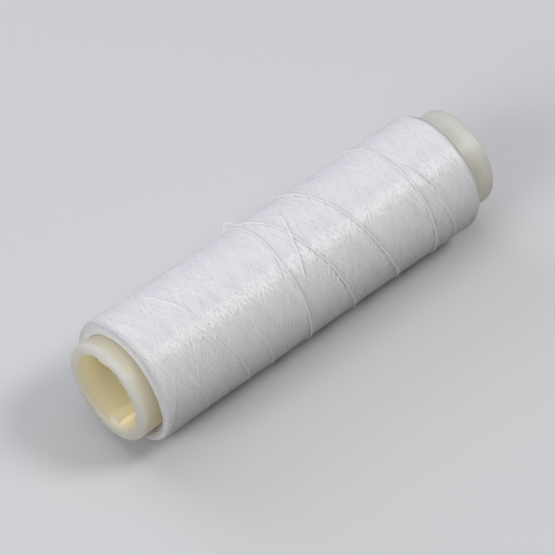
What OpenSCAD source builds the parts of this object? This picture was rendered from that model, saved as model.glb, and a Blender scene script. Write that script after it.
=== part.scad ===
// Small string reel: a moulded plastic tube that carries a cross-wound package of fine white string.
// It lies on its side. X runs along the tube from the keyed end to the plain end, +Z is up, and the
// origin is under the middle of the reel, on the surface that it lies on.

/* [Tube] */
// Overall length of the tube
tube_length = 75; // [56:1:95]
// Diameter of the plain spindle bore
bore_diameter = 12.8; // [9:0.1:18]
// Wall of the tube round the plain bore, which is also the wall of its two bare collars
wall_thickness = 2.1; // [1.4:0.1:3]
// Depth of the keyed mouth at the near end
mouth_depth = 12; // [6:0.5:20]
// How far the keyed mouth's wall stands back from the plain bore's
mouth_step = 0.3; // [0.1:0.05:0.6]
// Rounding of the tube's outer edges
edge_round = 0.5; // [0.2:0.1:0.8]
// Rounding of the two bore mouths
mouth_round = 0.4; // [0.2:0.1:0.6]

/* [Drive ribs] */
// Width of each of the two opposed ribs in the keyed mouth
rib_width = 2; // [1.2:0.1:3.5]
// How far a rib stands in from the mouth's wall
rib_height = 1.1; // [0.6:0.1:1.8]
// How far the ribs stop short of the end face and of the mouth's inner shoulder
rib_inset = 0.6; // [0.3:0.1:2]
// Lean of the pair of ribs from the vertical, in degrees
rib_lean = -11; // [-90:1:90]

/* [Winding] */
// Bare collar at the near end
near_collar = 3.2; // [2:0.1:8]
// Bare collar at the far end
far_collar = 4.8; // [2:0.1:10]
// Depth of string over the tube at the package's waist, up to the top of the outer turns
winding_depth = 1.9; // [1.2:0.1:4]
// Extra radius at the near end of the package
near_swell = 0.3; // [0:0.05:0.6]
// Extra radius at the far end of the package
far_swell = 0.2; // [0:0.05:0.6]
// Rounding of the package's two shoulders, at most four fifths of the depth of string
shoulder_round = 1.2; // [0.6:0.1:2]

/* [String] */
// Diameter of the string
string_diameter = 0.25; // [0.15:0.01:0.35]
// Height of the snag of slack string over the layer below it
snag_height = 0.85; // [0.6:0.05:1.2]

/* [Hidden] */
$fn = 96;

string_radius = string_diameter / 2;
bore_radius = bore_diameter / 2;
mouth_radius = bore_radius + mouth_step;
tube_radius = bore_radius + wall_thickness;
// Running gap between the string and what it lies on
lay_gap = 0.03;

// A turn is drawn as straight runs between rings, so its middle dips towards the axis: the rings stand
// further out by this factor, and the runs clear what they lie on
rings_per_turn = 24;
ring_step = 360 / rings_per_turn;
chord_factor = 1 / cos(ring_step / 2);
string_sides = 6;

// Height of the string's centre over the hidden package: in the outer layer, and in the wraps over it
outer_lift = string_radius + lay_gap;
wrap_lift = outer_lift + string_diameter + lay_gap;
// Radius of the hidden package at its waist, so that the outer turns reach the winding's depth
body_waist_radius = (tube_radius + winding_depth - string_radius) / chord_factor - outer_lift;
shoulder_radius = min(shoulder_round, 0.8 * (body_waist_radius - tube_radius));

wind_start = near_collar;
wind_end = tube_length - far_collar;
helix_start = wind_start + shoulder_radius;
helix_end = wind_end - shoulder_radius;

// How sharply the two swellings fade towards the waist
near_fade = 3;
far_fade = 8;

// The outer layer: six strokes from end to end, evenly spaced round the package, that all turn the same
// way, with this many rings in each. A ring step straddles the lowest point of every turn
stroke_count = 6;
stroke_rings = 64;
stroke_start_angle = 22.5;
stroke_hand = -1;
stroke_way = [[0, 0], [stroke_rings / rings_per_turn, 100]];

// The two wraps that cross the layer turn the other way. Each has its start angle, its rings, and how
// far along the package it has come, in hundredths, after a number of turns
wrap_hand = 1;
wraps = [
    [-52.5, 90, [[0, 0], [0.3, 9.5], [0.7, 25], [1.1, 38.5], [1.25, 42.5], [1.6, 43.5], [1.7, 45],
                 [2.35, 61.5], [2.7, 74], [2.9, 79.5], [3.4, 85], [3.75, 100]]],
    [-292.5, 94, [[0, 0], [0.35, 11], [1.2, 27], [1.35, 32], [1.9, 43.5], [2.35, 59], [2.9, 80],
                  [3, 83], [3.25, 85], [3.9, 100]]]
];
// Each string end climbs from the tube to the top of its shoulder while it turns through this angle
climb_angle = 15;
climb_rings = 8;
// Straight run at a string end, square to the tube
end_run = 1.2 * string_diameter;

// The snag stands midway between two strokes, on the side that faces away and up
snag_angle = 30;
snag_stroke = 7.5;
snag_half_width = 0.6;
snag_rings = 8;

// Radius of the hidden package along the tube: two swellings fade into the waist
function body_radius(x) =
    let (t = (x - wind_start) / (wind_end - wind_start))
    body_waist_radius + near_swell * pow(1 - t, near_fade) + far_swell * pow(t, far_fade);

function to_point(c) = [c[0], c[1] * cos(c[2]), c[1] * sin(c[2])];

// One climb over a shoulder, as [distance from the end of the package, radius, share of the turn]. It
// starts on the tube, runs up the end face and rounds the shoulder at a rising lift
function climb(edge_radius, lift) =
    let (face = edge_radius - shoulder_radius - tube_radius - lay_gap)
    let (length_up = face + (shoulder_radius + outer_lift) * PI / 2)
    [for (i = [0 : climb_rings])
        let (s = i / climb_rings)
        let (u = i == 0 ? 0 : end_run + (length_up - end_run) * (i - 1) / (climb_rings - 1))
        let (turned = i == 0 ? 0 : pow((i - 1) / (climb_rings - 1), 2))
        let (rise = outer_lift + (lift - outer_lift) * s)
        let (a = max(0, (u - face) / (shoulder_radius + outer_lift) * 180 / PI))
        let (flat_radius = tube_radius + lay_gap + min(u, face))
        [shoulder_radius - (shoulder_radius + rise) * cos(a),
         (flat_radius + (shoulder_radius + rise) * sin(a)) * (1 + (chord_factor - 1) * turned),
         turned]];

function mean(v) = v * [for (i = v) 1] / len(v);

// Distance along the package after a number of turns, with the bends in the table's way rounded
function way_along(way, turns) =
    mean([for (i = [-2 : 2]) lookup(turns + i / rings_per_turn, way)]) / 100;

// A whole stretch of string: up the near shoulder, along the package and down the far shoulder. It turns
// one way round the package or the other, as its hand is 1 or -1
function string_route(start_angle, rings, way, hand, lift) =
    let (near = climb(body_radius(helix_start), lift))
    let (far = climb(body_radius(helix_end), lift))
    let (end_angle = start_angle + hand * rings * ring_step)
    concat(
        [for (c = near)
            to_point([wind_start + c[0], c[1], start_angle - hand * climb_angle * (1 - c[2])])],
        [for (i = [1 : rings - 1])
            let (x = helix_start + (helix_end - helix_start) * way_along(way, i / rings_per_turn))
            to_point([x, (body_radius(x) + lift) * chord_factor, start_angle + hand * i * ring_step])],
        [for (i = [climb_rings : -1 : 0])
            let (c = far[i])
            to_point([wind_end - c[0], c[1], end_angle + hand * climb_angle * (1 - c[2])])]);

stroke_routes = [for (k = [0 : stroke_count - 1])
    string_route(stroke_start_angle + 360 * k / stroke_count, stroke_rings, stroke_way, stroke_hand,
                 outer_lift)];
wrap_routes = [for (w = wraps) string_route(w[0], w[1], w[2], wrap_hand, wrap_lift)];

// The reel rests on its lowest wraps, which are pressed flat by a tenth of the string's diameter
lowest_route_z = min([for (route = wrap_routes) for (p = route) p[2]]);
rest_height = string_radius - lowest_route_z - string_diameter / 10;

// The snag rises square to the package, bends over in a half circle and comes down again
stroke_lead = (helix_end - helix_start) * rings_per_turn / stroke_rings;
snag_x = helix_start
    + stroke_lead * (snag_stroke / stroke_count + stroke_hand * (snag_angle - stroke_start_angle) / 360);
snag_foot = body_radius(snag_x) + lay_gap;
snag_leg = snag_height - snag_half_width;
snag_route = concat(
    [to_point([snag_x - snag_half_width, snag_foot, snag_angle])],
    [for (i = [0 : snag_rings])
        let (a = 180 * i / snag_rings)
        to_point([snag_x - snag_half_width * cos(a), snag_foot + snag_leg + snag_half_width * sin(a),
                  snag_angle])],
    [to_point([snag_x + snag_half_width, snag_foot, snag_angle])]);

// Least gap of a string to itself, between rings that are at least half a turn apart
function least_gap(route, apart) =
    min([for (i = [0 : len(route) - apart - 1]) for (j = [i + apart : len(route) - 1])
        norm(route[i] - route[j])]) - string_diameter;

echo(outer_stroke_least_gap_mm = least_gap(stroke_routes[0], rings_per_turn / 2));
for (route = wrap_routes)
    echo(crossing_wrap_least_gap_mm = least_gap(route, rings_per_turn / 2));
echo(snag_loop_least_gap_mm = least_gap(snag_route, snag_rings));

function unit(v) = v / norm(v);

// Sweeps the string along a route as one closed tube of triangles. side_axis is a direction that the
// route never runs along, and it sets how the rings are turned
module sweep_string(route, side_axis) {
    last = len(route) - 1;
    rings = [for (i = [0 : last])
        let (along = unit(route[min(i + 1, last)] - route[max(i - 1, 0)]))
        let (side = unit(side_axis - (side_axis * along) * along))
        let (out = cross(along, side))
        [for (k = [0 : string_sides - 1])
            let (a = 360 * k / string_sides)
            let (p = route[i] + string_radius * (cos(a) * side + sin(a) * out))
            [p[0], p[1], max(p[2], -rest_height)]]];
    points = [for (ring = rings) for (p = ring) p];
    walls = [for (i = [0 : last - 1]) for (k = [0 : string_sides - 1])
        let (a = i * string_sides + k)
        let (b = i * string_sides + (k + 1) % string_sides)
        each [[a, a + string_sides, b], [b, a + string_sides, b + string_sides]]];
    caps = [for (k = [1 : string_sides - 2])
        each [[0, k, k + 1], [last * string_sides, last * string_sides + k + 1, last * string_sides + k]]];
    polyhedron(points, concat(walls, caps));
}

// Puts what is built round the X axis, with the near end at x = 0, into the reel's own frame
module lay_down() {
    translate([-tube_length / 2, 0, rest_height]) children();
}

// Turns a profile of radius against length into a solid round the X axis
module revolve_along_x() {
    rotate([0, 90, 0]) rotate_extrude() children();
}

// A rectangle of radius against length whose corners are rounded on the ends that are asked for
module rounded_wall(inner, outer, from, to, inner_round, outer_round) {
    difference() {
        translate([inner, from]) square([outer - inner, to - from]);
        translate([inner, from]) square(inner_round);
        translate([outer - outer_round, from]) square(outer_round);
    }
    translate([inner + inner_round, from + inner_round]) circle(inner_round);
    translate([outer - outer_round, from + outer_round]) circle(outer_round);
}

// The tube's wall as radius against length: the keyed mouth, then the plain bore
module tube_wall() {
    mouth_wall = tube_radius - mouth_radius;
    edge = min(edge_round, 0.45 * mouth_wall);
    lip = min(mouth_round, 0.45 * mouth_wall);
    rounded_wall(mouth_radius, tube_radius, 0, mouth_depth, lip, edge);
    translate([0, tube_length]) mirror([0, 1])
        rounded_wall(bore_radius, tube_radius, 0, tube_length - mouth_depth, lip, edge);
}

// One rib stands on the wall of the keyed mouth and is rooted a little inside that wall
module drive_rib() {
    root = (tube_radius - mouth_radius) / 2;
    translate([rib_inset, -rib_width / 2, mouth_radius - rib_height])
        cube([mouth_depth - 2 * rib_inset, rib_width, rib_height + root]);
}

module spool_tube() {
    color([0.86, 0.84, 0.74]) lay_down() {
        revolve_along_x() tube_wall();
        for (half_turn = [0, 180])
            rotate([half_turn + rib_lean, 0, 0]) drive_rib();
    }
}

// A round shoulder of the package as radius against length: it reaches from the tube's surface out to
// the package's radius there, bulges round its centre line, and is cut off at the tube
module shoulder(inner, outer, centre, from) {
    translate([inner, from]) square([outer - shoulder_radius - inner, shoulder_radius]);
    intersection() {
        translate([outer - shoulder_radius, centre]) circle(shoulder_radius);
        translate([inner, centre - shoulder_radius]) square([outer - inner, 2 * shoulder_radius]);
    }
}

// The hidden layers of the package: a plain body with the package's swellings and round shoulders
module wound_body() {
    profile_steps = 24;
    inner = tube_radius + lay_gap / 2;
    near_radius = body_radius(helix_start);
    far_radius = body_radius(helix_end);
    top = [for (i = [0 : profile_steps])
        let (x = helix_start + (helix_end - helix_start) * i / profile_steps)
        [body_radius(x), x]];
    color([0.93, 0.93, 0.96]) lay_down() revolve_along_x() {
        polygon(concat([[inner, helix_start]], top, [[inner, helix_end]]));
        shoulder(inner, near_radius, helix_start, wind_start);
        shoulder(inner, far_radius, helix_end, helix_end);
    }
}

module outer_turns() {
    color([0.97, 0.97, 1]) lay_down()
        for (route = stroke_routes) sweep_string(route, [1, 0, 0]);
}

module crossing_wraps() {
    color([1, 1, 1]) lay_down()
        for (route = wrap_routes) sweep_string(route, [1, 0, 0]);
}

module snag_loop() {
    across = [0, -sin(snag_angle), cos(snag_angle)];
    color([1, 1, 1]) lay_down() sweep_string(snag_route, across);
}

spool_tube();
wound_body();
outer_turns();
crossing_wraps();
snag_loop();
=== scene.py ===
"""The looks of a small reel of fine white string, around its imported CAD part.

Shapes are made in millimetres and degrees. x runs from the near end face along the axis, phi runs round the
axis from +Y to +Z, and r is the distance from the axis. in_frame turns them into the frame's metres.
"""

import math

import bpy
import numpy as np
from mathutils import Matrix, Vector


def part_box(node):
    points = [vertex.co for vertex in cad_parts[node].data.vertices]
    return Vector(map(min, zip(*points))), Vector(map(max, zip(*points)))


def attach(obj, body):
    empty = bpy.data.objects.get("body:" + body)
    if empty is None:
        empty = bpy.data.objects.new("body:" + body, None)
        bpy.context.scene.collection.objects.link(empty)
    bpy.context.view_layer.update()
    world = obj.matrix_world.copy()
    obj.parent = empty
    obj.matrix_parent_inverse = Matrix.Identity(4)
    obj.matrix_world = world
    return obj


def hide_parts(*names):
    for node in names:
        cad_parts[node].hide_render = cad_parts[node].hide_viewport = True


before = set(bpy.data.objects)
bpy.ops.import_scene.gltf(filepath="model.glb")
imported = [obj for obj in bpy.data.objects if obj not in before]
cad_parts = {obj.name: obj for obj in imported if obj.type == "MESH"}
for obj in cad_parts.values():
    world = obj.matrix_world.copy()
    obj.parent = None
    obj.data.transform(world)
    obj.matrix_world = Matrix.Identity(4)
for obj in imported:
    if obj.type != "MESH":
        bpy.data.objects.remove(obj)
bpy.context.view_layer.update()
rng = np.random.default_rng(11)

# ---------------------------------------------------------------- the package's form
LENGTH = 75.0
TUBE_RADIUS = 8.5
WIND_START, WIND_END = 3.2, 70.2
STRING_RADIUS = 0.125
SHOULDER = 1.2
tube_lo, tube_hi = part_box("spool_tube")
AXIS_Z = (tube_lo[2] + tube_hi[2]) / 2 * 1000

# Radius over the outer turns along the package, which swells a little at both ends
PROFILE_X = [3.2, 5.0, 7.0, 10.0, 15.0, 26.0, 36.0, 43.0, 50.0, 60.0, 66.0, 70.2]
PROFILE_R = [10.66, 10.67, 10.64, 10.56, 10.50, 10.49, 10.45, 10.42, 10.38, 10.43, 10.52, 10.56]

# The package's ends aren't quite square. The near one is drawn in low down, beside the tube only, and the far
# one on top. Both draws fade out over DRAW_REACH.
NEAR_DRAW_PHI, NEAR_DRAW = [150, 175, 210, 255, 330], [0, 0.3, 1.15, 0.9, 0]
NEAR_DRAW_R = [8.7, 10.1]  # whole up to the first radius, and none from the second on
FAR_DRAW_PHI, FAR_DRAW = [0, 50, 120, 190], [0, 0.55, 0.5, 0]
DRAW_REACH = 5


def surface_radius(x):
    """Radius over the outer turns at x, with the two round shoulders."""
    x = np.asarray(x, float)
    r = np.interp(x, PROFILE_X, PROFILE_R)
    from_end = np.clip(np.minimum(x - WIND_START, WIND_END - x), 0, SHOULDER)
    return r - SHOULDER + np.sqrt(np.maximum(SHOULDER**2 - (SHOULDER - from_end) ** 2, 0))


def shoulder_depth(r, top):
    """How far in from the end face the package's surface is at radius r, where its full radius is top."""
    rise = np.clip(r - (top - SHOULDER), 0, SHOULDER)
    return SHOULDER - np.sqrt(SHOULDER**2 - rise**2)


def drawn_in(x, r, phi):
    """x moved in where the package's ends are drawn in."""
    near = np.interp(phi % 360, NEAR_DRAW_PHI, NEAR_DRAW)
    near = near * np.interp(x, [WIND_START, WIND_START + DRAW_REACH], [1, 0])
    near = near * np.interp(r, NEAR_DRAW_R, [1, 0])
    far = np.interp(phi % 360, FAR_DRAW_PHI, FAR_DRAW)
    return x + near - far * np.interp(x, [WIND_END - DRAW_REACH, WIND_END], [0, 1])


def in_frame(x, r, phi):
    """Cylinder coordinates in millimetres and degrees to the row frame in metres."""
    x, r, a = np.broadcast_arrays(np.asarray(x, float), np.asarray(r, float), np.radians(phi))
    return np.stack([x - LENGTH / 2, r * np.cos(a), AXIS_Z + r * np.sin(a)], -1) / 1000


def outward(phi):
    """Directions that point away from the axis."""
    a = np.radians(phi)
    return np.stack([0 * a, np.cos(a), np.sin(a)], -1)


# ---------------------------------------------------------------- meshes and noise
def make_object(name, verts, quads, smooth=True, tone=None, lean=None):
    """A mesh object from arrays of vertices and quads. tone and lean are for the string material."""
    mesh = bpy.data.meshes.new(name)
    mesh.vertices.add(len(verts))
    mesh.vertices.foreach_set("co", np.ascontiguousarray(verts, np.float32).ravel())
    mesh.loops.add(quads.size)
    mesh.loops.foreach_set("vertex_index", quads.astype(np.int32).ravel())
    mesh.polygons.add(len(quads))
    mesh.polygons.foreach_set("loop_start", np.arange(len(quads), dtype=np.int32) * 4)
    mesh.polygons.foreach_set("loop_total", np.full(len(quads), 4, np.int32))
    mesh.update(calc_edges=True)
    mesh.validate()
    mesh.polygons.foreach_set("use_smooth", np.full(len(mesh.polygons), smooth))
    if tone is not None:
        layer = mesh.attributes.new("tone", "FLOAT", "POINT")
        layer.data.foreach_set("value", np.asarray(tone, np.float32))
    if lean is not None:
        layer = mesh.attributes.new("lean", "FLOAT_VECTOR", "POINT")
        layer.data.foreach_set("vector", np.ascontiguousarray(lean, np.float32).ravel())
    obj = bpy.data.objects.new(name, mesh)
    bpy.context.scene.collection.objects.link(obj)
    return obj


def sweep(name, points, up, width, height, tone, sides=6, lean=None):
    """One closed strand along points in the row frame, an ellipse across, pressed flat where it meets the
    floor. width and height are in millimetres, and up is the direction of its height at each point. lean is
    how far its fibres lean to the side and along, in radians. The string material adds it to the normal."""
    width, height = width / 1000, height / 1000
    n = len(points)
    along = np.gradient(points, axis=0)
    along /= np.linalg.norm(along, axis=1, keepdims=True)
    side = np.cross(along, up)
    side /= np.linalg.norm(side, axis=1, keepdims=True)
    out = np.cross(side, along)
    a = np.arange(sides) * 2 * math.pi / sides
    u, v = 0.5 * width * np.cos(a)[None, :, None], 0.5 * height * np.sin(a)[None, :, None]
    rings = points[:, None] + u * side[:, None] + v * out[:, None]
    rings[..., 2] = np.maximum(rings[..., 2], 0)
    verts = np.concatenate([rings.reshape(-1, 3), points[:1], points[-1:]])

    i, k = np.meshgrid(np.arange(n - 1), np.arange(sides), indexing="ij")
    nxt = (k + 1) % sides
    walls = np.stack([i * sides + k, i * sides + nxt, (i + 1) * sides + nxt, (i + 1) * sides + k], -1)
    k = np.arange(0, sides, 2)
    first, last, base = n * sides, n * sides + 1, (n - 1) * sides
    near_cap = np.stack([np.full_like(k, first), (k + 2) % sides, k + 1, k], -1)
    far_cap = np.stack([np.full_like(k, last), base + k, base + k + 1, base + (k + 2) % sides], -1)
    quads = np.concatenate([walls.reshape(-1, 4), near_cap, far_cap])

    tone = np.concatenate([np.repeat(tone, sides), [tone[0], tone[-1]]])
    if lean is not None:
        lean = lean[:, :1] * side + lean[:, 1:] * along
        lean = np.concatenate([np.repeat(lean, sides, axis=0), lean[:1], lean[-1:]])
    return make_object(name, verts, quads, tone=tone, lean=lean)


def smoothed(values, sigma):
    """Gaussian smoothing of a sampled path, with its ends held."""
    reach = int(4 * sigma)
    kernel = np.exp(-0.5 * (np.arange(-reach, reach + 1) / sigma) ** 2)
    padded = np.concatenate([np.full(reach, values[0]), values, np.full(reach, values[-1])])
    return np.convolve(padded, kernel / kernel.sum(), "valid")


def slow_noise(n, step, size):
    """n samples of a smooth random wave of the given size, one knot every step samples."""
    knots = rng.normal(0, size, n // step + 3)
    return smoothed(np.interp(np.arange(n) / step, np.arange(len(knots)), knots), step / 4)


# ---------------------------------------------------------------- strands that stand proud
# Each is a run of (x, phi) over the package. It dives into the winding at both ends.
STRANDS = {
    "raised_a": [
        (10.5, 55), (12.6, 79.5), (13.6, 92), (15.1, 118), (15.9, 134), (17.5, 154), (19.7, 191),
        (20.4, 201), (24.5, 260), (29.6, 345), (31.5, 385), (32.2, 405), (32.25, 452), (31.8, 470),
        (31.9, 489), (32.2, 514), (32.4, 533), (33.0, 551), (35.0, 600), (39.0, 690), (42.5, 762),
        (44.1, 799.5), (45.5, 819), (46.2, 835), (47.3, 851.5), (48.3, 869), (49.6, 886), (50.8, 903),
        (52.2, 918), (56.0, 985)],
    "raised_b": [
        (33.3, 40), (33.8, 57), (35.2, 77), (36.1, 89), (36.9, 110), (37.8, 123), (38.9, 139), (40.2, 161),
        (41.6, 183), (42.5, 196), (46.5, 255), (52.0, 335), (56.2, 392), (57.9, 420), (58.3, 449),
        (58.5, 464), (59.0, 484), (59.2, 501), (59.5, 524), (60.1, 548), (60.7, 563), (63.0, 640),
        (66.2, 740)],
    "raised_f": [(38.6, 72), (37.5, 88), (36.1, 102), (35.2, 119), (33.4, 145)],
    "raised_h": [(8.4, 140), (9.6, 159), (10.5, 176), (11.5, 193), (13.0, 220)],
    "raised_i": [(21.9, 140), (23.2, 161), (24.3, 181), (25.0, 196), (27.0, 230)],
    "raised_k": [(61.4, 140), (63.2, 168.5), (64.1, 185), (65.2, 206)],
    "raised_m": [(59.6, 95), (60.9, 114), (62.3, 136), (63.4, 156)],
    "raised_n": [(31.2, 96), (31.45, 106), (30.8, 121), (30.2, 134)],
}
LONGEST_RUN = 4  # turns
RAISED_WIDTH, RAISED_HEIGHT = 0.32, 0.26
RAISED_STEP = 5  # degrees from ring to ring
RAISED_TONE = 0.62
PRIDE_X, PRIDE = [22, 32], [0.35, 1]
RIDGE, RIDGE_WIDTH = 0.09, 0.35  # how far the outer turns rise under a raised strand, and how far beside it
RIDGE_FADE = 25  # degrees over which the ridge ends
LIFT = 0.04  # a raised strand's middle over the top of its ridge
LOW_SINK = 0.12  # how much lower it would lie where it stood out by nothing
SUNK = {"raised_f": 0.07, "raised_k": 0.06, "raised_m": 0.03}  # how much lower these lie
DIVE, DIVE_RINGS = 0.3, 3.0  # how deep a strand's ends dive, and over how many rings


def pride(x):
    """How far the raised strands stand out at x, from 0 to 1: least towards the near end."""
    return np.interp(x, PRIDE_X, PRIDE)


def ridge(x, phi):
    """Up to 1 under a raised strand, falling to 0 over about 0.7 mm on either side."""
    rise = np.zeros(len(x))
    for run in STRANDS.values():
        xs, phis = np.array(run, float).T
        for turn in range(LONGEST_RUN):
            there = phi % 360 + 360 * turn
            inside = np.clip(np.minimum(there - phis[0], phis[-1] - there) / RIDGE_FADE, 0, 1)
            rise = np.maximum(rise, inside * np.exp(-((x - np.interp(there, phis, xs)) / RIDGE_WIDTH) ** 2))
    return rise * pride(x)


def build_raised():
    """The strands that stand proud of the outer turns."""
    made = []
    for name, run in STRANDS.items():
        xs, phis = np.array(run, float).T
        count = max(16, int((phis[-1] - phis[0]) / RAISED_STEP))
        phi = np.linspace(phis[0], phis[-1], count)
        x = smoothed(np.interp(phi, phis, xs), sigma=1.6)
        ring = (phi - phi[0]) / RAISED_STEP
        dive = np.clip(np.minimum(ring, ring[-1] - ring) / DIVE_RINGS, 0, 1)
        dive = dive * dive * (3 - 2 * dive)
        r = surface_radius(x) + LIFT + RIDGE * pride(x) - LOW_SINK * (1 - pride(x))
        r = r - DIVE * (1 - dive) - SUNK.get(name, 0)
        points, tone = in_frame(x, r, phi), np.full(count, RAISED_TONE)
        made.append(sweep(name, points, outward(phi), RAISED_WIDTH, RAISED_HEIGHT, tone, sides=8))
    return made


# ---------------------------------------------------------------- the cross-wound string
# Each hand has TILES * BAND strokes side by side, which close the layer. The winder lays BAND strokes next
# to each other, then moves on by STRIDE tiles, so bands of the two hands cross over and under each other.
LEAD = 23.5
RINGS_PER_TURN = 54
TILES, BAND, STRIDE = 23, 4, 9
PLACING_ERROR = 0.04  # of the distance between strokes
BACK_OFFSET = 0.37  # turns from the one hand to the other
REVERSAL_TURNS = 0.02  # from the end of a stroke to the start of the next
REVERSAL_SOFTNESS = 0.035  # turns over which a reversal is rounded
REVERSAL_ROOM = 0.5  # what a stroke's turns leave out of the package's length
END_GAP, END_SPREAD = 0.12, 0.16  # from the package's ends to where the strokes turn, and its random part
LEAST_END_GAP = 0.08
DEPTH = 0.02  # from the last stroke down to the first
STROKE_HEIGHT = 0.05
INNER_WIDTH, OUTER_WIDTH = 0.36, 0.28
BUNDLE_WAVES = 12


def winding_path():
    """The string's last strokes, to and fro over the package, as one path: x, phi, and order from 0 to 1."""
    stroke_turns = (WIND_END - WIND_START - REVERSAL_ROOM) / LEAD
    turn, knots_turn, knots_x = 0.0, [], []
    for stroke in range(2 * TILES * BAND):
        outbound, pair = stroke % 2 == 0, stroke // 2
        tile = pair // BAND * STRIDE % TILES
        want = (tile * BAND + pair % BAND + rng.normal(0, PLACING_ERROR)) / (TILES * BAND)
        if not outbound:
            want = -want + BACK_OFFSET - stroke_turns
        turn += (want - turn) % 1.0
        lo = WIND_START + END_GAP + abs(rng.normal(0, END_SPREAD))
        hi = WIND_END - END_GAP - abs(rng.normal(0, END_SPREAD))
        knots_turn += [turn, turn + stroke_turns]
        knots_x += [lo, hi] if outbound else [hi, lo]
        turn += stroke_turns + REVERSAL_TURNS
    count = int((knots_turn[-1] - knots_turn[0]) * RINGS_PER_TURN)
    t = np.linspace(knots_turn[0], knots_turn[-1], count)
    x = smoothed(np.interp(t, knots_turn, knots_x), sigma=RINGS_PER_TURN * REVERSAL_SOFTNESS)
    return x + slow_noise(count, step=66, size=0.015), t * 360, np.linspace(0, 1, count)


def bundle_noise(x, phi, size, fewest, most):
    """Random streaks along the strokes that neighbouring strokes share. They come in fewest to most waves
    across one lead, most itself left out."""
    hand = np.sign(np.gradient(x))
    turn = phi / 360
    across = x / LEAD - hand * turn
    total = np.zeros(len(x))
    for _ in range(BUNDLE_WAVES):
        waves, along, start = rng.integers(fewest, most), rng.integers(-12, 13), rng.uniform(0, 1)
        total += np.sin(2 * math.pi * (waves * across + along * turn + start))
    return total * size * math.sqrt(2 / BUNDLE_WAVES)


def build_winding():
    """The strokes of the winding as two strands, the earlier half and the later one."""
    x, phi, order = winding_path()
    n = len(x)
    x = np.clip(x, WIND_START + LEAST_END_GAP, WIND_END - LEAST_END_GAP)
    r = surface_radius(x) - STROKE_HEIGHT / 2 - DEPTH * (1 - order)
    r -= np.abs(slow_noise(n, step=66, size=0.004))
    r += RIDGE * ridge(x, phi)
    tone = 0.5 + slow_noise(n, step=116, size=0.15) + bundle_noise(x, phi, size=0.2, fewest=3, most=12)
    lean_aside = slow_noise(n, step=20, size=0.03) + bundle_noise(x, phi, size=0.06, fewest=20, most=60)
    lean_aside += bundle_noise(x, phi, size=0.03, fewest=4, most=14)
    lean_along = slow_noise(n, step=5, size=0.025) + bundle_noise(x, phi, size=0.05, fewest=24, most=70)
    lean = np.stack([lean_aside, lean_along], -1)

    half = n // 2
    made = []
    for name, part, width in (("string_inner_strokes", slice(0, half + 1), INNER_WIDTH),
                              ("string_outer_strokes", slice(half, None), OUTER_WIDTH)):
        points, up = in_frame(drawn_in(x[part], r[part], phi[part]), r[part], phi[part]), outward(phi[part])
        made.append(sweep(name, points, up, width, STROKE_HEIGHT, tone[part], lean=lean[part]))
    steps = np.linalg.norm(np.diff(in_frame(x, r, phi), axis=0), axis=1)
    print("string in the strokes: %.1f m" % steps.sum())
    return made


# ---------------------------------------------------------------- the package and its end faces
CORE_SUNK = 0.055  # under the surface of the outer turns
CORE_INSET = 0.13  # from the package's ends
CORE_PLAIN_FROM = 1.6  # from the package's ends, where its rounding is over
CORE_SIDES = 180
TUBE_GAP = 0.02
END_PITCH = 0.17
END_WIDTH, END_HEIGHT = 0.24, 0.15
END_RINGS_PER_TURN = 72
END_MARGIN = 0.55  # from the last end turn out to the package's full radius
END_SUNK = 0.08


def build_core():
    """The package under the strokes, with its two end faces, as a closed ring."""
    def rounding(first, last):
        return SHOULDER * (1 - np.cos(np.linspace(first, last, 9)))

    xs = np.concatenate([
        WIND_START + CORE_INSET + rounding(0.2, math.pi / 2),
        np.linspace(WIND_START + CORE_PLAIN_FROM, WIND_END - CORE_PLAIN_FROM, 60),
        WIND_END - CORE_INSET - rounding(math.pi / 2, 0.2),
    ])
    rs = surface_radius(xs) - CORE_SUNK
    at_tube = TUBE_RADIUS + TUBE_GAP
    xs = np.concatenate([[xs[0] + 0.1], xs, [xs[-1] - 0.1]])
    rs = np.concatenate([[at_tube], rs, [at_tube]])
    phi = np.arange(CORE_SIDES) * 360 / CORE_SIDES
    verts = in_frame(drawn_in(xs[:, None], rs[:, None], phi[None]), rs[:, None], phi[None]).reshape(-1, 3)
    n = len(xs)
    i, k = np.meshgrid(np.arange(n), np.arange(CORE_SIDES), indexing="ij")
    this, that, nxt = i * CORE_SIDES, (i + 1) % n * CORE_SIDES, (k + 1) % CORE_SIDES
    quads = np.stack([this + k, this + nxt, that + nxt, that + k], -1)
    return make_object("string_package", verts, quads.reshape(-1, 4))


def build_end_turns():
    """The turns that show on the package's end faces, from the tube to the shoulder, as one spiral each."""
    made = []
    for name, face, inward in (("string_near_face", WIND_START, 1), ("string_far_face", WIND_END, -1)):
        top = float(np.interp(face, PROFILE_X, PROFILE_R))
        first = TUBE_RADIUS + STRING_RADIUS + 0.01
        turns = (top - END_MARGIN - first) / END_PITCH
        count = int(turns * END_RINGS_PER_TURN)
        phi = np.linspace(0, 360 * turns, count)
        wander = slow_noise(count, step=15, size=0.05) * np.clip(phi / 90, 0, 1)
        r = first + np.abs(END_PITCH * phi / 360 + wander)
        depth = shoulder_depth(r, top) + END_SUNK + np.abs(slow_noise(count, step=17, size=0.035))
        x = face + inward * depth
        tone = 0.5 + slow_noise(count, step=45, size=0.2)
        up = np.tile([1.0, 0, 0], (count, 1))
        made.append(sweep(name, in_frame(drawn_in(x, r, phi), r, phi), up, END_WIDTH, END_HEIGHT, tone))
    return made


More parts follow.
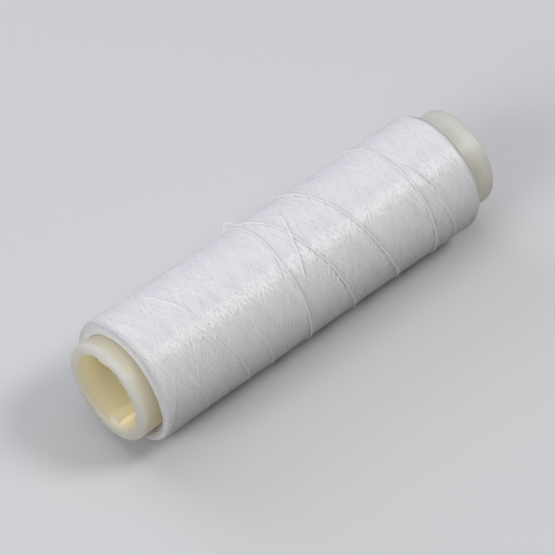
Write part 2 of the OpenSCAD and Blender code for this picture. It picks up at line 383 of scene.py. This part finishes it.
# ---------------------------------------------------------------- the snag
# Points along the axis and outward, from the snag's place
SNAG_PATH = [(-1.15, -0.18), (-1.05, 0.1), (-0.98, 0.45), (-0.85, 0.8), (-0.6, 0.98), (-0.3, 0.95),
             (0.0, 0.78), (0.25, 0.52), (0.5, 0.25), (0.75, 0.03), (1.1, -0.12), (1.4, -0.25)]
SNAG_X, SNAG_PHI = 33.4, 33.0
SNAG_BOW, SNAG_SLANT = 3.0, 1.5  # degrees, and degrees for each millimetre along the axis
SNAG_RINGS = 60


def build_snag():
    """A small open loop of slack string on the side that faces away and up."""
    knots = np.arange(len(SNAG_PATH))
    t = np.linspace(0, knots[-1], SNAG_RINGS)
    u, lift = (smoothed(np.interp(t, knots, values), sigma=2.2) for values in np.array(SNAG_PATH).T)
    x = SNAG_X + u
    phi = SNAG_PHI + SNAG_BOW * np.sin(np.linspace(0, math.pi, SNAG_RINGS)) + u * SNAG_SLANT
    r = surface_radius(x) + lift + STRING_RADIUS * 0.6
    up = outward(np.full(SNAG_RINGS, SNAG_PHI + 90))
    size = 2 * STRING_RADIUS
    return sweep("snag", in_frame(x, r, phi), up, size, size, np.full(SNAG_RINGS, 0.6), sides=8)


# ---------------------------------------------------------------- materials, all in metres
STRING_COLOURS = (0.82, 0.82, 0.85), (0.88, 0.88, 0.91)
# Painted highlight: the raised strands and the snag are the same string as the strokes, painted lighter for
# the light they catch where they stand proud.
RAISED_LIT_COLOURS = (0.89, 0.89, 0.91), (0.93, 0.93, 0.95)
# Painted light: the deeper layers are the same string, painted lighter than the strokes to lift the shade in
# the gaps between them.
PACKAGE_LIGHTENED_COLOURS = (0.86, 0.86, 0.88), (0.92, 0.92, 0.94)
# Painted light and shade on the milky tube: darker, warmer painted shade next to the winding, heaviest at the
# near end; a paler painted glow at the ends past the winding; a bright, warm painted glow inside, less yellow
# at the mouth.
TUBE_SHADE_BESIDE_NEAR, TUBE_SHADE_BESIDE_FAR = (0.72, 0.665, 0.495), (0.76, 0.745, 0.64)
TUBE_GLOW_FREE_END = (0.81, 0.79, 0.70)
BORE_GLOW_DEEP, BORE_GLOW_MOUTH = (0.90, 0.815, 0.55), (0.82, 0.765, 0.595)
END_GLOW_FROM, END_GLOW_TO = 0.0018, 0.0031  # where the painted glow of the tube's ends begins and where it is full, past the package's end faces
BORE_TO, OUTSIDE_FROM = 0.0067, 0.0072  # distances from the axis
BUMP_DISTANCE = 0.0001
FLOOR_SHOWN, FLOOR_THROWN = (0.70, 0.705, 0.715), (0.16, 0.155, 0.145)


def fill(tree, node, inputs):
    """Each named input of a node gets a number, a colour or another node's output."""
    for name, value in inputs.items():
        if isinstance(value, bpy.types.NodeSocket):
            tree.links.new(value, node.inputs[name])
        else:
            node.inputs[name].default_value = value


def add_node(tree, kind, inputs, **settings):
    node = tree.nodes.new(kind)
    for name, value in settings.items():
        setattr(node, name, value)
    fill(tree, node, inputs)
    return node


def new_material(name):
    mat = bpy.data.materials.new(name)
    mat.use_nodes = True
    return mat, mat.node_tree, mat.node_tree.nodes["Principled BSDF"]


def rgba(colour):
    return (*colour, 1)


def maths(tree, operation, *values):
    """One Math node on sockets or numbers."""
    return add_node(tree, "ShaderNodeMath", dict(enumerate(values)), operation=operation).outputs[0]


def mix(tree, factor, a, b):
    """A colour from a, where factor is 0, to b, where it is 1."""
    inputs = {"Factor": factor, "A": a, "B": b}
    return add_node(tree, "ShaderNodeMix", inputs, data_type="RGBA").outputs["Result"]


def ramp_up(tree, value, low, high):
    """0 below low, 1 above high and smooth between."""
    inputs = {"Value": value, "From Min": low, "From Max": high}
    return add_node(tree, "ShaderNodeMapRange", inputs, interpolation_type="SMOOTHSTEP").outputs["Result"]


def place(tree):
    """A point's place on its piece, in the frame's metres."""
    return add_node(tree, "ShaderNodeTexCoord", {}).outputs["Object"]


def noise(tree, scale, detail):
    inputs = {"Vector": place(tree), "Scale": scale, "Detail": detail}
    return add_node(tree, "ShaderNodeTexNoise", inputs).outputs["Fac"]


def string_material(name, colours, roughness):
    """Glossy string. Its colour follows the tone attribute and a slow noise, and its normal the lean of its
    fibres, which breaks the highlight up."""
    mat, tree, shader = new_material(name)
    tone = add_node(tree, "ShaderNodeAttribute", {}, attribute_name="tone").outputs["Fac"]
    lean = add_node(tree, "ShaderNodeAttribute", {}, attribute_name="lean").outputs["Vector"]
    normal = add_node(tree, "ShaderNodeNewGeometry", {}).outputs["Normal"]
    leant = add_node(tree, "ShaderNodeVectorMath", {0: normal, 1: lean}, operation="ADD").outputs[0]
    unit = add_node(tree, "ShaderNodeVectorMath", {0: leant}, operation="NORMALIZE").outputs[0]
    half_tone = maths(tree, "MULTIPLY", tone, 0.5)
    blend = maths(tree, "MULTIPLY_ADD", noise(tree, scale=160, detail=3), 0.5, half_tone)
    dark, light = colours
    fill(tree, shader, {
        "Base Color": mix(tree, blend, rgba(dark), rgba(light)),
        "Roughness": roughness,
        "IOR": 1.5,
        "Normal": unit,
    })
    return mat


def package_material():
    """The deeper layers: the same string, seen in the gaps between strokes as a fine grain. They are
    painted lighter than the strokes, to lift the shade in those gaps.
    """
    mat, tree, shader = new_material("string_layers_lightened")
    grain = noise(tree, scale=900, detail=4)
    bump = add_node(tree, "ShaderNodeBump", {"Strength": 0.5, "Distance": BUMP_DISTANCE, "Height": grain})
    dark, light = PACKAGE_LIGHTENED_COLOURS
    fill(tree, shader, {
        "Base Color": mix(tree, grain, rgba(dark), rgba(light)),
        "Roughness": 0.5,
        "Normal": bump.outputs["Normal"],
    })
    return mat


def tube_material():
    """Milky plastic with painted light: a pale painted glow at the ends past the winding, darker and warmer
    painted shade next to the winding, and inside the tube a bright, warm painted glow, less yellow at the
    mouth.
    """
    mat, tree, shader = new_material("tube_plastic")
    at = add_node(tree, "ShaderNodeSeparateXYZ", {0: place(tree)}).outputs

    middle = (WIND_START + WIND_END - LENGTH) / 2000
    half_package = (WIND_END - WIND_START) / 2000
    cloud = maths(tree, "MULTIPLY", noise(tree, scale=90, detail=3), 0.0006)
    from_middle = maths(tree, "ADD", maths(tree, "ABSOLUTE", maths(tree, "SUBTRACT", at["X"], middle)), cloud)
    # Painted glow: the tube is paler towards its ends past the winding, with a cloudy edge.
    end_glow = ramp_up(tree, from_middle, half_package + END_GLOW_FROM, half_package + END_GLOW_TO)
    height = maths(tree, "SUBTRACT", at["Z"], AXIS_Z / 1000)
    squares = [maths(tree, "MULTIPLY", v, v) for v in (at["Y"], height)]
    radius = maths(tree, "SQRT", maths(tree, "ADD", *squares))
    outside = ramp_up(tree, radius, BORE_TO, OUTSIDE_FROM)
    # Painted shade next to the winding, heavier and yellower at the near end than at the far end.
    far_end = ramp_up(tree, at["X"], -0.03, 0.03)
    beside = mix(tree, far_end, rgba(TUBE_SHADE_BESIDE_NEAR), rgba(TUBE_SHADE_BESIDE_FAR))
    painted_collar = mix(tree, end_glow, beside, rgba(TUBE_GLOW_FREE_END))
    # Inside the tube, a bright, warm painted glow, less yellow towards the mouth.
    bore_glow = mix(tree, end_glow, rgba(BORE_GLOW_DEEP), rgba(BORE_GLOW_MOUTH))

    soft_edge = add_node(tree, "ShaderNodeBevel", {"Radius": 0.0004}, samples=6)
    bump = add_node(tree, "ShaderNodeBump", {
        "Strength": 0.15,
        "Distance": BUMP_DISTANCE,
        "Height": noise(tree, scale=1400, detail=2),
        "Normal": soft_edge.outputs["Normal"],
    })
    shader.subsurface_method = "BURLEY"
    fill(tree, shader, {
        "Base Color": mix(tree, outside, bore_glow, painted_collar),
        "Roughness": 0.42,
        "Normal": bump.outputs["Normal"],
        "Subsurface Weight": 1.0,
        "Subsurface Radius": (1.0, 0.9, 0.65),
        "Subsurface Scale": 0.014,
    })
    return mat


def stage_material():
    """Pale paper. It shows pale to the camera and in reflections, and throws less light back than that."""
    mat, tree, shader = new_material("floor_paper")
    fill(tree, shader, {"Base Color": rgba(FLOOR_SHOWN), "Roughness": 0.9, "Specular IOR Level": 0.1})
    dim = add_node(tree, "ShaderNodeBsdfDiffuse", {"Color": rgba(FLOOR_THROWN)})
    rays = add_node(tree, "ShaderNodeLightPath", {}).outputs
    seen = maths(tree, "MAXIMUM", rays["Is Camera Ray"], rays["Is Glossy Ray"])
    shown = add_node(tree, "ShaderNodeMixShader", {"Fac": seen, 1: dim.outputs[0], 2: shader.outputs[0]})
    fill(tree, tree.nodes["Material Output"], {"Surface": shown.outputs[0]})
    return mat


# ---------------------------------------------------------------- assembly
string_mat = string_material("string", STRING_COLOURS, roughness=0.27)
# The raised strands and the snag get a lighter copy of the string material, a painted highlight.
raised_lit_mat = string_material("string_raised_lit", RAISED_LIT_COLOURS, roughness=0.2)
core = build_core()
strokes = build_winding()
faces = build_end_turns()
raised = build_raised()
snag = build_snag()

core.data.materials.append(package_material())
for piece in strokes + faces:
    piece.data.materials.append(string_mat)
for piece in raised + [snag]:
    piece.data.materials.append(raised_lit_mat)
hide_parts("wound_body")
for piece in strokes + faces:
    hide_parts("outer_turns")
for piece in raised:
    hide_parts("crossing_wraps")
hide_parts("snag_loop")
for piece in [core, snag] + strokes + faces + raised:
    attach(piece, "root")

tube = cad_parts["spool_tube"]
tube.data.materials.clear()
tube.data.materials.append(tube_material())

# ---------------------------------------------------------------- stage, light and camera, in metres
corners = np.array([(-1.5, -1.5, 0), (1.5, -1.5, 0), (1.5, 1.5, 0), (-1.5, 1.5, 0)])
floor = make_object("floor", corners, np.array([(0, 1, 2, 3)]), smooth=False)
floor.data.materials.append(stage_material())

REEL = (0, 0, 0.01)


def round_axis(phi, x, distance):
    """A place at an angle round the reel's axis and a distance from it."""
    a = math.radians(phi)
    return x, distance * math.cos(a), REEL[2] + distance * math.sin(a)


def area_light(name, at, aim, side, watts, colour):
    data = bpy.data.lights.new(name, "AREA")
    data.shape = "RECTANGLE"
    data.size, data.size_y = side, side
    data.energy = watts
    data.color = colour
    obj = bpy.data.objects.new(name, data)
    obj.location = at
    obj.rotation_mode = "QUATERNION"
    obj.rotation_quaternion = (Vector(aim) - Vector(at)).to_track_quat("-Z", "Y")
    bpy.context.scene.collection.objects.link(obj)


area_light("key", round_axis(80, 0.05, 0.62), REEL, 0.7, 0.925, (0.97, 0.975, 1.0))
area_light("gloss", round_axis(117, 0.30, 0.55), REEL, 0.2, 1.4, (1, 1, 1))
area_light("back", round_axis(30, -0.05, 0.62), REEL, 0.4, 1.15, (0.82, 0.85, 1.0))
area_light("end", (-0.54, -0.055, 0.32), (-0.03, 0, 0.01), 0.3, 1.75, (1.0, 0.985, 0.96))

world = bpy.data.worlds.new("studio")
world.use_nodes = True
fill(world.node_tree, world.node_tree.nodes["Background"], {"Color": (1, 1, 1, 1), "Strength": 0.13})
bpy.context.scene.world = world

# The camera that was fitted to the photograph, whose focal length came out in pixels
AZIMUTH, ELEVATION = math.radians(-42.631), math.radians(47.546)
DISTANCE = 0.49843
AIM = Vector((-0.00218, -0.00003, AXIS_Z / 1000))
FOCAL_PIXELS, IMAGE_PIXELS = 3181.17, 555
SENSOR = 36

level = math.cos(ELEVATION)
back = Vector((math.sin(AZIMUTH) * level, -math.cos(AZIMUTH) * level, math.sin(ELEVATION)))
right = Vector((math.cos(AZIMUTH), math.sin(AZIMUTH), 0))
turned = Matrix((right, back.cross(right), back)).transposed().to_4x4()
camera_data = bpy.data.cameras.new("camera")
camera_data.sensor_width = SENSOR
camera_data.lens = FOCAL_PIXELS * SENSOR / IMAGE_PIXELS
camera_data.clip_start, camera_data.clip_end = 0.01, 10
camera = bpy.data.objects.new("camera", camera_data)
camera.matrix_world = Matrix.Translation(AIM + back * DISTANCE) @ turned
bpy.context.scene.collection.objects.link(camera)
bpy.context.scene.camera = camera
bpy.context.scene.view_settings.view_transform = "Standard"
